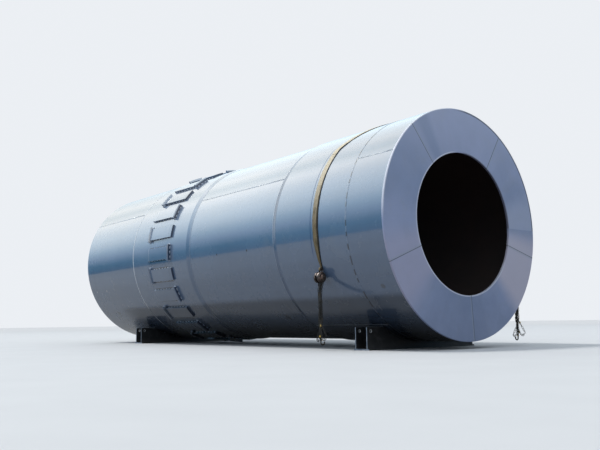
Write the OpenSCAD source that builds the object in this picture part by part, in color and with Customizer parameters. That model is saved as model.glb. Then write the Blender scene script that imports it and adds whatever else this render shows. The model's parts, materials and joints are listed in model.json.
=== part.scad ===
// Shell section of a rotary kiln, resting in two transport saddles.
// The drum lies along X with the end ring at +X. The origin is on the plane that the
// saddles stand on, under the middle of the drum. Angles round the drum run from +Y
// towards +Z. Sizes are in millimetres.

/* [Shell] */
// Inside diameter of the shell
bore_d = 3500; // [3300:10:3700]
// Plate thickness of the heavy courses
heavy_t = 50; // [40:1:60]
// Plate thickness of the middle course
light_t = 28; // [22:1:36]
// Length of the course next to the end ring
ring_course_l = 735; // [600:5:900]
// Length of the front course
front_course_l = 1805; // [1600:5:2100]
// Length of the middle course
middle_course_l = 2700; // [2400:10:3000]
// Length of the course under the tyre seat
tyre_course_l = 2390; // [2200:10:2600]
// Length of the rear course
rear_course_l = 2500; // [2200:10:2800]
// Length of the taper where a heavy plate meets the middle course
taper_l = 100; // [80:5:140]
// Angle of the lengthways seam on the middle and rear courses
seam_angle = 148; // [130:1:160]
// Width of the weld bevel at the open rear end
bevel_w = 18; // [8:1:24]

/* [End ring] */
// Diameter of the opening in the end ring
opening_d = 2210; // [2000:10:2400]
// Thickness of the end ring
ring_t = 30; // [20:1:40]
// Number of segments in the end ring
ring_segments = 5; // [4:1:6]
// Angle of the first segment joint
ring_seam_angle = 57.3; // [40:0.1:70]

/* [Tyre seat] */
// Number of seat pads round the shell
pad_count = 26; // [22:2:28]
// Width of a seat pad along the circumference
pad_w = 250; // [220:5:280]
// Thickness of a seat pad
pad_t = 40; // [30:1:50]
// Clear width between the stops, where the tyre sits
tyre_seat_w = 800; // [700:10:900]
// Length of pad past the tyre seat at the end without a stop
pad_overhang = 100; // [60:5:140]
// Width of a stop block along the circumference
stop_w = 320; // [290:5:340]
// Thickness of a stop block along the drum
stop_t = 50; // [36:1:60]
// Height of a stop block above the pad
stop_rise = 34; // [20:1:50]
// Angle of the middle of the first pad
pad_angle = 125.7; // [120:0.1:132]

/* [Saddles] */
// Height of the drum axis above the ground
axis_h = 1905; // [1890:5:2050]
// Distance of the front saddle from the end ring's outer face
front_saddle_s = 1070; // [900:10:1300]
// Distance of the rear saddle from the end ring's outer face
rear_saddle_s = 8440; // [8200:10:8800]
// Length of a saddle across the drum
saddle_w = 2500; // [2300:10:2700]
// Half of the angle over which a saddle holds the drum
saddle_half_angle = 30.8; // [28:0.1:34]
// Width over a saddle's two webs
web_span = 262; // [220:2:300]
// Thickness of a web
web_t = 18; // [12:1:25]
// Thickness of the seat plate
seat_t = 16; // [10:1:20]
// Width of the seat plate
seat_w = 300; // [280:5:340]
// Thickness of the base plate
base_t = 20; // [14:1:30]
// Width of the base plate
base_w = 330; // [300:5:380]
// Thickness of a stiffener between the webs
rib_t = 14; // [10:1:20]
// Diameter of the lifting hole in each horn
lift_hole_d = 44; // [30:1:60]
// Distance of the lifting hole from the end of the horn
lift_hole_in = 78; // [60:2:110]
// Distance of the lifting hole from the top of the horn
lift_hole_down = 58; // [44:2:80]
// Running gap between the drum and a seat plate
seat_gap = 0.3; // [0.2:0.1:0.6]

/* [Lashing] */
// Distance of the strap from the end ring's outer face
strap_s = 1450; // [1400:10:1650]
// Shift of the strap towards the end ring from one side of the drum to the other
strap_drift = 1100; // [900:10:1150]
// Angle at which the strap bends from straight to slanting
strap_bend_angle = 135.5; // [125:0.5:145]
// Width of the strap
strap_w = 125; // [90:5:140]
// Width of the strap at its ends, where it is gathered into an eye
strap_end_w = 44; // [36:2:56]
// Thickness of the strap
strap_t = 8; // [5:1:10]
// Angle below the drum's side at which the strap ends
strap_end_angle = 21.5; // [18:0.5:28]
// Diameter of the chain hoist's round body
hoist_d = 166; // [140:2:180]
// Width of the chain hoist's body along the drum
hoist_w = 136; // [110:2:150]
// Wire diameter of the load chain
chain_d = 13; // [10:1:14]
// Diameter of the hook's round bar
hook_d = 20; // [16:1:24]
// Least height of the hooks above the ground
hook_clear = 30; // [10:5:80]

/* [Hidden] */
$fn = 180;
bore_r = bore_d / 2;
heavy_r = bore_r + heavy_t;
light_r = bore_r + light_t;
opening_r = opening_d / 2;
total_l = rear_course_l + tyre_course_l + middle_course_l + front_course_l + ring_course_l + ring_t;
// Stations along X: the rear end, the girth seams and the outer face of the end ring
x_rear = -total_l / 2;
x_tyre = x_rear + rear_course_l;
x_middle = x_tyre + tyre_course_l;
x_front = x_middle + middle_course_l;
x_ring_course = x_front + front_course_l;
x_ring = x_ring_course + ring_course_l;
x_face = x_ring + ring_t;
// Weld caps
cap_w = 28;
cap_top_w = 12;
cap_h = 3.5;
// Tyre seat
seat_x = (x_tyre + x_middle) / 2;
pad_deg = pad_w / heavy_r * 180 / PI;
stop_deg = stop_w / heavy_r * 180 / PI;
pad_pitch = 360 / pad_count;
edge_c = 5;
// Saddles
seat_in_r = heavy_r + seat_gap;
seat_out_r = seat_in_r + seat_t;
horn_h = axis_h - seat_out_r * cos(saddle_half_angle);
front_saddle_x = x_face - front_saddle_s;
rear_saddle_x = x_face - rear_saddle_s;
rib_places = [-0.8, -0.4, 0, 0.4, 0.8];
// Strap
x_strap = x_face - strap_s;
strap_steps = 112;
strap_gap = 0.6;
strap_a0 = -strap_end_angle;
strap_a1 = 180 + strap_end_angle;
strap_gather = 14;
// Chain hoist: two cheeks hold the eye of the strap, the body and the load chain
play = 0.3;
cheek_t = 6;
cheek_gap = strap_end_w + 4;
cheek_w = 36;
eye_lift = 30;
eye_wound_d = 56;
pin_d = 16;
hoist_lift = hoist_d / 2 + 14;
hoist_along = eye_wound_d / 2 + hoist_d / 2;
hoist_edge = 18;
// The lower pin hangs straight below the middle of the body
pin_drop = hoist_d / 2 + 30;
pin_lift = hoist_lift + pin_drop * sin(strap_end_angle);
pin_along = hoist_along + pin_drop * cos(strap_end_angle);
// Chain and hook
wire_sides = 24;
link_pitch = 3 * chain_d;
link_bend_r = 1.175 * chain_d;
link_step = link_pitch - play;
eye_d = 0.6 * hook_d;
eye_r = 1.2 * hook_d;
hook_bend_r = 1.8 * hook_d;
hook_shank = 3 * hook_d;
hook_l = 2 * eye_r + hook_shank + hook_bend_r + hook_d / 2;
chain_top_h = axis_h - (heavy_r + pin_lift) * sin(strap_end_angle) - pin_along * cos(strap_end_angle);
chain_side = (heavy_r + pin_lift) * cos(strap_end_angle) - pin_along * sin(strap_end_angle);
chain_links = floor((chain_top_h - hook_clear - hook_l) / link_step);

shell_color = "lightsteelblue";
ring_color = "slategray";
pad_color = "steelblue";
cap_color = "silver";
saddle_color = "dimgray";
strap_color = "tan";
chain_color = "gray";

// Places a revolve made round Z so that its axis is the drum's
module on_axis() {
    translate([0, 0, axis_h])
        rotate([90, 0, 90])
            children();
}

// Revolves a profile of radius and station through part of a turn
module arc(from_a, to_a) {
    on_axis()
        rotate([0, 0, from_a])
            rotate_extrude(angle = to_a - from_a)
                children();
}

// Wall of one course, with a taper at either end and a weld bevel at the rear end
module wall_profile(x0, x1, t, taper0 = false, taper1 = false, bevel = false) {
    r = bore_r + t;
    polygon([
        [bore_r, x0],
        if (taper0) [light_r, x0],
        if (taper0) [r, x0 + taper_l],
        if (bevel) [r - bevel_w, x0],
        if (bevel) [r, x0 + bevel_w],
        if (!taper0 && !bevel) [r, x0],
        if (taper1) [r, x1 - taper_l],
        if (taper1) [light_r, x1],
        if (!taper1) [r, x1],
        [bore_r, x1]
    ]);
}

// Half of a course: the plate that starts at an angle and turns half way round
module ring_course_plate(start_a) {
    color(shell_color)
        arc(start_a, start_a + 180)
            wall_profile(x_ring_course, x_ring, heavy_t);
}

module front_course_plate(start_a) {
    color(shell_color)
        arc(start_a, start_a + 180)
            wall_profile(x_front, x_ring_course, heavy_t, taper0 = true);
}

module middle_course_plate(start_a) {
    color(shell_color)
        arc(start_a, start_a + 180)
            wall_profile(x_middle, x_front, light_t);
}

module tyre_course_plate(start_a) {
    color(shell_color)
        arc(start_a, start_a + 180)
            wall_profile(x_tyre, x_middle, heavy_t, taper1 = true);
}

module rear_course_plate(start_a) {
    color(shell_color)
        arc(start_a, start_a + 180)
            wall_profile(x_rear, x_tyre, heavy_t, bevel = true);
}

module end_ring_segment(index) {
    segment_deg = 360 / ring_segments;
    start_a = ring_seam_angle + (index - 1) * segment_deg;
    color(ring_color)
        arc(start_a, start_a + segment_deg)
            polygon([
                [opening_r, x_ring],
                [heavy_r, x_ring],
                [heavy_r, x_face - edge_c],
                [heavy_r - edge_c, x_face],
                [opening_r, x_face]
            ]);
}

// Cap of a girth weld on a level shell
module level_cap(x, r) {
    arc(0, 360)
        polygon([
            [r, x - cap_w / 2],
            [r + cap_h, x - cap_top_w / 2],
            [r + cap_h, x + cap_top_w / 2],
            [r, x + cap_w / 2]
        ]);
}

// Cap of a girth weld at the foot of a taper that rises towards side
module taper_cap(x, side) {
    rise = (heavy_r - light_r) * cap_w / 2 / taper_l;
    arc(0, 360)
        polygon([
            [light_r, x - side * cap_w / 2],
            [light_r + cap_h, x - side * cap_top_w / 2],
            [light_r + rise + cap_h, x + side * cap_top_w / 2],
            [light_r + rise, x + side * cap_w / 2],
            [light_r, x]
        ]);
}

module girth_weld_caps() {
    color(cap_color) {
        level_cap(x_tyre, heavy_r);
        taper_cap(x_middle, -1);
        taper_cap(x_front, 1);
        level_cap(x_ring_course, heavy_r);
    }
}

// Cap of a lengthways weld, centred on an angle
module seam_cap(x0, x1, r, a) {
    half_a = cap_w / 2 / r * 180 / PI;
    arc(a - half_a, a + half_a)
        translate([r, x0 + cap_w / 2])
            square([cap_h, x1 - x0 - cap_w]);
}

module lengthways_weld_caps() {
    color(cap_color)
        for (turn = [0, 180]) {
            seam_cap(x_rear + bevel_w, x_tyre, heavy_r, seam_angle + turn);
            seam_cap(x_middle, x_front, light_r, seam_angle + turn);
            seam_cap(x_front + taper_l, x_ring_course, heavy_r, seam_angle + 90 + turn);
            seam_cap(x_ring_course, x_ring, heavy_r, seam_angle + turn);
        }
}

// Seat pads with even or odd numbers; side is the end that has the stop
module seat_pads(parity, side) {
    near = seat_x + side * tyre_seat_w / 2;
    far = seat_x - side * (tyre_seat_w / 2 + pad_overhang);
    x0 = min(near, far);
    x1 = max(near, far);
    color(pad_color)
        for (i = [parity:2:pad_count - 1])
            arc(pad_angle + i * pad_pitch - pad_deg / 2, pad_angle + i * pad_pitch + pad_deg / 2)
                polygon([
                    [heavy_r, x0],
                    [heavy_r + pad_t - edge_c, x0],
                    [heavy_r + pad_t, x0 + edge_c],
                    [heavy_r + pad_t, x1 - edge_c],
                    [heavy_r + pad_t - edge_c, x1],
                    [heavy_r, x1]
                ]);
}

// Stop blocks at the ends of the pads with even or odd numbers
module stop_blocks(parity, side) {
    near = seat_x + side * tyre_seat_w / 2;
    x0 = min(near, near + side * stop_t);
    x1 = x0 + stop_t;
    top_r = heavy_r + pad_t + stop_rise;
    color(pad_color)
        for (i = [parity:2:pad_count - 1])
            arc(pad_angle + i * pad_pitch - stop_deg / 2, pad_angle + i * pad_pitch + stop_deg / 2)
                polygon([
                    [heavy_r, x0],
                    [top_r - edge_c, x0],
                    [top_r, x0 + edge_c],
                    [top_r, x1 - edge_c],
                    [top_r - edge_c, x1],
                    [heavy_r, x1]
                ]);
}

// Web of a saddle, from one face at x0 to the other at x0 + web_t
module saddle_web(x0) {
    color(saddle_color)
        difference() {
            translate([x0, -saddle_w / 2, base_t])
                cube([web_t, saddle_w, horn_h - base_t]);
            translate([x0 - 1, 0, axis_h])
                rotate([0, 90, 0])
                    cylinder(h = web_t + 2, r = seat_out_r);
            for (side = [-1, 1])
                translate([x0 - 1, side * (saddle_w / 2 - lift_hole_in), horn_h - lift_hole_down])
                    rotate([0, 90, 0])
                        cylinder(h = web_t + 2, d = lift_hole_d);
        }
}

module saddle_base(x) {
    color(saddle_color)
        translate([x - base_w / 2, -saddle_w / 2, 0])
            cube([base_w, saddle_w, base_t]);
}

module saddle_seat(x) {
    color(saddle_color)
        arc(270 - saddle_half_angle, 270 + saddle_half_angle)
            translate([seat_in_r, x - seat_w / 2])
                square([seat_t, seat_w]);
}

module saddle_ribs(x) {
    inner_w = web_span - 2 * web_t;
    color(saddle_color)
        difference() {
            for (place = rib_places)
                translate([x - inner_w / 2, place * saddle_w / 2 - rib_t / 2, base_t])
                    cube([inner_w, rib_t, horn_h - base_t]);
            translate([x - inner_w, 0, axis_h])
                rotate([0, 90, 0])
                    cylinder(h = 2 * inner_w, r = seat_out_r);
        }
}

function clamp01(v) = max(0, min(1, v));

// Place of the strap along the drum at an angle: straight down both sides, slanting over the top
function strap_x(a) =
    x_strap + strap_drift * clamp01((strap_bend_angle - a) / (2 * strap_bend_angle - 180));

// Height of the strap's underside above the shell, raised over a girth weld's cap
function strap_lift(a) =
    strap_gap + cap_h * clamp01(2 - abs(strap_x(a) - x_ring_course) / (strap_w / 2 + cap_w));

// Width of the strap at an angle: full over the drum, gathered towards its ends
function strap_width(a) =
    strap_end_w + (strap_w - strap_end_w) * clamp01(min(a - strap_a0, strap_a1 - a) / strap_gather);

// Corners of the strap's section at an angle
function strap_ring(a) = [
    for (corner = [[0, -0.5], [0, 0.5], [1, 0.5], [1, -0.5]])
        let (r = heavy_r + strap_lift(a) + corner[0] * strap_t)
            [strap_x(a) + corner[1] * strap_width(a), r * cos(a), axis_h + r * sin(a)]
];

// Solid that joins rings of points, each ring with the same number of them
module skin(rings) {
    n = len(rings[0]);
    last = len(rings) - 1;
    polyhedron(
        points = [for (ring = rings) each ring],
        faces = [
            [for (k = [0:n - 1]) k],
            for (i = [0:last - 1])
                for (k = [0:n - 1])
                    each [
                        [i * n + k, (i + 1) * n + k, (i + 1) * n + (k + 1) % n],
                        [i * n + k, (i + 1) * n + (k + 1) % n, i * n + (k + 1) % n]
                    ],
            [for (k = [n - 1:-1:0]) last * n + k]
        ]
    );
}

// Places a piece at both ends of the strap: X outwards, Y down along the shell, Z along the drum
module at_strap_ends() {
    for (side = [0, 1])
        on_axis()
            rotate([0, 0, side == 0 ? strap_a0 : strap_a1])
                translate([heavy_r, 0, strap_x(side == 0 ? strap_a0 : strap_a1)])
                    mirror([0, 1 - side, 0])
                        children();
}

// The strap over the drum, with an eye at either end round the upper pin of a hoist
module lashing_strap() {
    color(strap_color) {
        skin([
            for (i = [0:strap_steps])
                strap_ring(strap_a0 + (strap_a1 - strap_a0) * i / strap_steps)
        ]);
        at_strap_ends()
            difference() {
                translate([eye_lift, 0, -strap_end_w / 2])
                    cylinder(h = strap_end_w, d = eye_wound_d);
                translate([eye_lift, 0, -strap_end_w])
                    cylinder(h = 2 * strap_end_w, d = pin_d + 2 * play);
            }
    }
}

// Bar of a cheek between two places, in the plane of the cheek, with a wider round end at both
module cheek_bar(from, to) {
    run = to - from;
    bar_w = 0.7 * cheek_w;
    translate(from)
        rotate([0, 0, atan2(run[1], run[0])])
            translate([0, -bar_w / 2])
                square([norm(run), bar_w]);
    for (place = [from, to])
        translate(place)
            circle(d = cheek_w);
}

// Cheek of a hoist, with its lower face at z
module hoist_cheek(z) {
    translate([0, 0, z])
        linear_extrude(cheek_t) {
            cheek_bar([eye_lift, 0], [hoist_lift, hoist_along]);
            cheek_bar([hoist_lift, hoist_along], [pin_lift, pin_along]);
        }
}

// Round body of a hoist: two covers with bevelled edges round the cheeks and a hub between them
module hoist_body() {
    half_w = hoist_w / 2;
    r = hoist_d / 2;
    hub_r = 0.4 * cheek_w;
    inner = (cheek_gap - cheek_t) / 2;
    translate([hoist_lift, hoist_along, 0])
        rotate_extrude()
            polygon([
                [0, -half_w],
                [r - hoist_edge, -half_w],
                [r, hoist_edge - half_w],
                [r, -inner],
                [hub_r, -inner],
                [hub_r, inner],
                [r, inner],
                [r, half_w - hoist_edge],
                [r - hoist_edge, half_w],
                [0, half_w]
            ]);
}

module chain_hoists() {
    color(chain_color)
        at_strap_ends() {
            hoist_cheek(-cheek_gap / 2 - cheek_t);
            hoist_cheek(cheek_gap / 2);
            hoist_body();
            for (place = [[eye_lift, 0], [pin_lift, pin_along]])
                translate([place[0], place[1], -cheek_gap / 2 - 2 * cheek_t])
                    cylinder(h = cheek_gap + 4 * cheek_t, d = pin_d);
        }
}

// One link in the XZ plane, centred on the origin
module chain_link() {
    $fn = wire_sides;
    straight = link_pitch - 2 * link_bend_r + chain_d;
    for (end = [0, 1])
        mirror([0, 0, end])
            translate([0, 0, straight / 2])
                rotate([90, 0, 0])
                    rotate_extrude(angle = 180)
                        translate([link_bend_r, 0])
                            circle(d = chain_d);
    for (side = [-1, 1])
        translate([side * link_bend_r, 0, -straight / 2])
            cylinder(h = straight, d = chain_d);
}

// Places a piece that hangs from the lower pin of each hoist, turned by quarter turns
module at_chains(quarter_turns) {
    for (side = [0, 1])
        translate([strap_x(side == 0 ? strap_a0 : strap_a1), 0, chain_top_h + pin_d / 2 + play])
            mirror([0, 1 - side, 0])
                translate([0, -chain_side, 0])
                    rotate([0, 0, 90 * quarter_turns])
                        children();
}

module lashing_chains() {
    color(chain_color)
        for (i = [0:chain_links - 1])
            at_chains(1 + i % 2)
                translate([0, 0, -link_pitch / 2 - i * link_step])
                    chain_link();
}

// Hook with an eye through the last link
module chain_hooks() {
    $fn = wire_sides;
    color(chain_color)
        at_chains(1 + chain_links % 2)
            translate([0, 0, -chain_links * link_step - eye_r + eye_d / 2]) {
                rotate([90, 0, 0])
                    rotate_extrude()
                        translate([eye_r, 0])
                            circle(d = eye_d);
                translate([0, 0, -eye_r - hook_shank])
                    cylinder(h = hook_shank, d = hook_d);
                translate([hook_bend_r, 0, -eye_r - hook_shank])
                    rotate([90, 0, 0])
                        rotate([0, 0, 180])
                            rotate_extrude(angle = 200)
                                translate([hook_bend_r, 0])
                                    circle(d = hook_d);
            }
}

ring_course_plate(seam_angle - 180);  // ring_course_upper_plate
ring_course_plate(seam_angle);  // ring_course_lower_plate
front_course_plate(seam_angle - 90);  // front_course_upper_plate
front_course_plate(seam_angle + 90);  // front_course_lower_plate
middle_course_plate(seam_angle - 180);  // middle_course_upper_plate
middle_course_plate(seam_angle);  // middle_course_lower_plate
tyre_course_plate(seam_angle - 90);  // tyre_course_upper_plate
tyre_course_plate(seam_angle + 90);  // tyre_course_lower_plate
rear_course_plate(seam_angle - 180);  // rear_course_upper_plate
rear_course_plate(seam_angle);  // rear_course_lower_plate
end_ring_segment(1);  // end_ring_segment_1
end_ring_segment(2);  // end_ring_segment_2
end_ring_segment(3);  // end_ring_segment_3
end_ring_segment(4);  // end_ring_segment_4
end_ring_segment(5);  // end_ring_segment_5
girth_weld_caps();
lengthways_weld_caps();
seat_pads(0, 1);  // tyre_seat_pads_front_stop
seat_pads(1, -1);  // tyre_seat_pads_rear_stop
stop_blocks(0, 1);  // front_stop_blocks
stop_blocks(1, -1);  // rear_stop_blocks
saddle_web(front_saddle_x + web_span / 2 - web_t);  // front_saddle_outer_web
saddle_web(front_saddle_x - web_span / 2);  // front_saddle_inner_web
saddle_base(front_saddle_x);  // front_saddle_base
saddle_seat(front_saddle_x);  // front_saddle_seat
saddle_ribs(front_saddle_x);  // front_saddle_ribs
saddle_web(rear_saddle_x - web_span / 2);  // rear_saddle_outer_web
saddle_web(rear_saddle_x + web_span / 2 - web_t);  // rear_saddle_inner_web
saddle_base(rear_saddle_x);  // rear_saddle_base
saddle_seat(rear_saddle_x);  // rear_saddle_seat
saddle_ribs(rear_saddle_x);  // rear_saddle_ribs
lashing_strap();
chain_hoists();
lashing_chains();
chain_hooks();
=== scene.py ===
import json
from math import atan2, cos, degrees, pi, radians, sin, sqrt

import bmesh
import bpy
from mathutils import Matrix, Vector


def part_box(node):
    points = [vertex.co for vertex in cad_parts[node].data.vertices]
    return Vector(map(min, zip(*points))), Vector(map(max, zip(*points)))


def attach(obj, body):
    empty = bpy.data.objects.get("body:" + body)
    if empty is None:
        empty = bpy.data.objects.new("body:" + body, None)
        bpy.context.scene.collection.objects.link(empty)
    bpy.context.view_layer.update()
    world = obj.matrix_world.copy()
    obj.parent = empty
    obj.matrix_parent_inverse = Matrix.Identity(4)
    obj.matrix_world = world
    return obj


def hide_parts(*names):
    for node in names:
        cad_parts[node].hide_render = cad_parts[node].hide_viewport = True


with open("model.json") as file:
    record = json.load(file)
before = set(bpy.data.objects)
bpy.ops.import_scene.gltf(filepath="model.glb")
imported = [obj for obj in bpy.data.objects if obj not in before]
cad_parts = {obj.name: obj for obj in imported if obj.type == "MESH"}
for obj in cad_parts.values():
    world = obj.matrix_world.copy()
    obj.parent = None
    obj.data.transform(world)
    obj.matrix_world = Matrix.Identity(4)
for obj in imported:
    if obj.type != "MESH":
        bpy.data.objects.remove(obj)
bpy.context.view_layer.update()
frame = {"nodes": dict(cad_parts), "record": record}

# Sizes are in metres. X runs along the drum towards the end ring. A turn is an angle round
# the drum in degrees, from +Y towards +Z, so the side that faces the camera is at 180.

# Sizes and stations, taken from the frame
RING_SEGMENTS = 5
RING_NODES = [f"end_ring_segment_{i + 1}" for i in range(RING_SEGMENTS)]
MOUNTS = {mount["name"]: mount for mount in frame["record"]["mounts"]}
AXIS_Z = MOUNTS["end_opening"]["pos_m"][2]
OPENING_R = MOUNTS["end_opening"]["dims"]["r_mm"] / 1000
PAD_R = MOUNTS["tyre_seat"]["dims"]["r_mm"] / 1000
SEAT_W = MOUNTS["tyre_seat"]["dims"]["length_mm"] / 1000
SEAT_X = MOUNTS["tyre_seat"]["pos_m"][0]
X_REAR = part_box("rear_course_upper_plate")[0].x
X_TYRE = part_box("tyre_course_upper_plate")[0].x
X_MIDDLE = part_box("middle_course_upper_plate")[0].x
X_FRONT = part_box("front_course_upper_plate")[0].x
X_RING_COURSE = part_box("ring_course_upper_plate")[0].x
X_RING, X_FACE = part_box("end_ring_segment_1")[0].x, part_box("end_ring_segment_1")[1].x
RING_R = max(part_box(node)[1].z for node in RING_NODES) - AXIS_Z

# Shell: plates, tapers, seams and weld beads
PAD_T = 0.040
HEAVY_R = PAD_R - PAD_T
LIGHT_STEP = 0.022
LIGHT_R = HEAVY_R - LIGHT_STEP
HEAVY_T = 0.050
BORE_R = HEAVY_R - HEAVY_T
TAPER = 0.100
REAR_BEVEL = 0.018
SEAM_ANGLE = 148.0
RING_SEAM_ANGLE = 57.3
CAP_W = 0.028
CAP_H = 0.0035
BEAD_ROOT = 0.002
BEAD_SINK = 0.0003
BEAD_POINTS = 9
BEAD_STEPS = 360
RIPPLE_PITCH = 0.007

# Tyre seat: pads, stops, and their stitch welds as (length, width, height)
PAD_COUNT = 26
PAD_PITCH = 360.0 / PAD_COUNT
PAD_ANGLE = 125.7
PAD_HALF_W = 0.125
PAD_HALF_TURN = degrees(PAD_HALF_W / HEAVY_R)
PAD_OVERHANG = 0.100
STOP_HALF_W = 0.160
STOP_HALF_TURN = degrees(STOP_HALF_W / HEAVY_R)
STOP_T = 0.050
PAD_STITCH = (0.062, 0.020, 0.013)
STITCH_PITCH = 0.118
STITCH_COUNT = 7
STITCH_INSET = 0.06
STITCH_CLEAR_TURN = 0.05
STOP_WELD_LIFT = 0.002
STOP_WELD_OFF = 0.001
STOP_END_WELD = (STOP_T + 0.020, 0.034, 0.024)
STOP_FACE_WELD = (0.070, 0.022, 0.014)
STOP_FACE_SHARES = (-0.62, 0.0, 0.62)

# Strap: it follows the same rule as the solid that it replaces
STRAP_X = X_FACE - 1.450
STRAP_DRIFT = 1.100
STRAP_BEND = 135.5
STRAP_SWING = 2 * STRAP_BEND - 180
STRAP_END = 21.5
STRAP_W = 0.125
STRAP_END_W = 0.044
STRAP_GATHER = 14.0
STRAP_T = 0.008
STRAP_GAP = 0.0006
WEB_T = 0.6 * STRAP_T
FOLD_H = 0.006
SLACK_H = 0.0012
SPLICE_TURNS = (STRAP_BEND - 4.5, STRAP_BEND + 4.0)
SPLICE_T = 0.004
SPLICE_GAP = 0.0005
SPLICE_SHARE = 0.92
WARP_PITCH = 0.0055
TWILL_ALONG, TWILL_ACROSS = 0.007, 0.011
# Ends of the strap as (turn, side of the drum)
ENDS = ((-STRAP_END, 1), (180 + STRAP_END, -1))

# Eyes of the strap, hoists and couplings
EYE_LIFT = 0.030
EYE_R = 0.028
PIN_R = 0.008
PIN_GAP = 0.0003
HOIST_R = 0.083
HOIST_HALF_W = 0.068
HOIST_LIFT = HOIST_R + 0.014
HOIST_ALONG = EYE_R + HOIST_R
WHEEL_R = 0.040
WHEEL_W = 0.020
WHEEL_X = HOIST_HALF_W + 0.014
BOLT_COUNT = 6
BOLT_CIRCLE_R = 0.030
BOLT_R = 0.005
BOLT_H = 0.005
COUPLING_R = 0.013
COUPLING_H = 0.030
COUPLING_OUT = 0.026
# Couplings of each hoist as (height, distance along the drum from the hoist's middle)
COUPLINGS = ((0.375, 0.034), (0.215, 0.012))
EDGE_ROUND = 0.003

# Latches of the hooks: size, and place from the outer and lower sides of the hooks
LATCH_SIZE = (0.020, 0.050, 0.006)
LATCH_ROUND = 0.0015
LATCH_IN = 0.060
LATCH_UP = 0.078

# Hand chains: links, and strands that are gathered round the load chain and spread below
LINK_WIRE_R = 0.0034
LINK_BEND_R = 0.0105
LINK_STRAIGHT = 0.014
LINK_PITCH = LINK_STRAIGHT + 2 * (LINK_BEND_R - LINK_WIRE_R) - 0.0003
STRAND_LOW = 0.17
STRAND_LOW_STEP = 0.02
STRAND_GATHERED = 0.2
STRAND_OPENS = 0.72
STRAND_CIRCLE = (0.026, 0.024)
LOOP_LINKS = 4
LOOP_SAG = 0.030
# How far each strand has spread along the drum at its lowest point
STRAND_SPREAD = (-0.115, -0.055, 0.010, 0.030, 0.075, 0.135)

# Marks on the shell as (distance from the ring's face, turn, size)
DOT_ROW = [(5.18, 187.6, 0.014), (4.90, 187.4, 0.013), (4.31, 187.1, 0.022), (3.35, 187.2, 0.024)]
SMUDGES = [(3.02, 231.0, 0.10), (0.32, 213.0, 0.05), (9.30, 222.0, 0.07)]
CHALK = [(9.85, 202.5, 0.030), (9.30, 202.3, 0.034)]
# Thin dark lines round the rear end, measured from its rim
REAR_LINES = (0.315, 0.365)
# A faint dark line on the side beside the strap, measured from the strap's edge
SIDE_LINE_OFF = 0.062
SIDE_LINE_TURN = 164.0

# Colours of the shell, the pads and their beads
SHELL_BLUE = (0.115, 0.180, 0.300, 1.0)
PAINT_DUST = (0.34, 0.33, 0.31, 1.0)
REAR_LINE_BLUE = (0.03, 0.05, 0.09, 1.0)
DOT_BLACK = (0.02, 0.02, 0.03, 1.0)
SMUDGE_GREY = (0.04, 0.05, 0.06, 1.0)
CHALK_GREY = (0.62, 0.64, 0.66, 1.0)
SIDE_LINE_BLUE = (0.03, 0.08, 0.20, 1.0)
# Painted shade on the front taper of the shell
TAPER_SHADE_BLUE = (0.045, 0.090, 0.185, 1.0)
# Painted shade along the long edges of the seat pads
PAD_JOINT_SHADE = (0.012, 0.020, 0.040, 1.0)
# Painted shade at the foot of the seat pads and stops
PAD_FOOT_SHADE = (0.012, 0.018, 0.034, 1.0)
# Painted light on the end faces of the pads and stops, paler above the middle height of the side
# and greyer below it, and painted shade on the upper part of the front end faces
END_LIT_PALE = (0.90, 0.95, 1.0, 1.0)
END_LIT_GREY = (0.36, 0.42, 0.52, 1.0)
END_SHADE_DARK = (0.016, 0.032, 0.080, 1.0)
# Grime and painted shade under the drum
GRIME_AND_SHADE = (0.006, 0.008, 0.012, 1.0)
# Primer and rust inside the shell, darkened to near black as painted shade
INSIDE_PRIMER_SHADE = (0.014, 0.007, 0.007, 1.0)
INSIDE_RUST_SHADE = (0.040, 0.016, 0.011, 1.0)
SEAM_BLUE = (0.19, 0.25, 0.37, 1.0)
# Painted highlight on the girth bead by the tyre
SEAM_HIGHLIGHT = (0.68, 0.74, 0.82, 1.0)
DASH_DARK = (0.018, 0.026, 0.045, 1.0)
# Painted light: the beads and stitches are lighter than the shell paint that covers them
BEAD_LIT_BLUES = ((0.38, 0.44, 0.53, 1.0), (0.47, 0.53, 0.61, 1.0))
STITCH_LIT_BLUES = ((0.30, 0.37, 0.50, 1.0), (0.48, 0.54, 0.64, 1.0))
# Painted shade under the drum on the stitch welds
STITCH_UNDER_SHADE = (0.17, 0.22, 0.31, 1.0)

# Colours of the ring
RING_BLUE = (0.330, 0.395, 0.630, 1.0)
RING_CLOUD = (0.150, 0.205, 0.340, 1.0)
# Painted light higher up the ring and painted shade at its bottom
RING_HIGH_LIT = (0.43, 0.48, 0.72, 1.0)
RING_LOW_SHADE = (0.125, 0.185, 0.330, 1.0)
RING_BESIDE_JOINTS = (0.36, 0.41, 0.52, 1.0)
RING_JOINT = (0.030, 0.040, 0.062, 1.0)
# Soft patches of painted light and shade on the ring as (turn, half width, soft edge, amount,
# colour)
RING_LIGHT_AND_SHADE_PATCHES = [
    (153.0, 6.0, 22.0, 0.45, (0.190, 0.265, 0.470, 1.0)),
    (207.0, 10.0, 16.0, 0.55, (0.490, 0.470, 0.640, 1.0)),
    (334.0, 14.0, 14.0, 0.85, (0.620, 0.590, 0.720, 1.0)),
    (2.0, 8.0, 16.0, 0.65, (0.480, 0.530, 0.720, 1.0)),
    (121.0, 1.5, 5.5, 0.45, (0.170, 0.240, 0.430, 1.0)),
]
# Painted highlights and painted shade on the edges of the ring as (radius, width, turn, half of the
# turn, colour)
RING_RIM_HIGHLIGHTS_AND_SHADE = [
    (OPENING_R + 0.008, 0.018, 215.0, 108.0, (0.74, 0.78, 0.94, 1.0)),
    (OPENING_R + 0.006, 0.014, 32.0, 50.0, (0.14, 0.13, 0.19, 1.0)),
    (RING_R - 0.006, 0.012, 138.0, 34.0, (0.78, 0.82, 0.95, 1.0)),
    (RING_R - 0.012, 0.034, 38.0, 46.0, (0.060, 0.042, 0.070, 1.0)),
]

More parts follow.
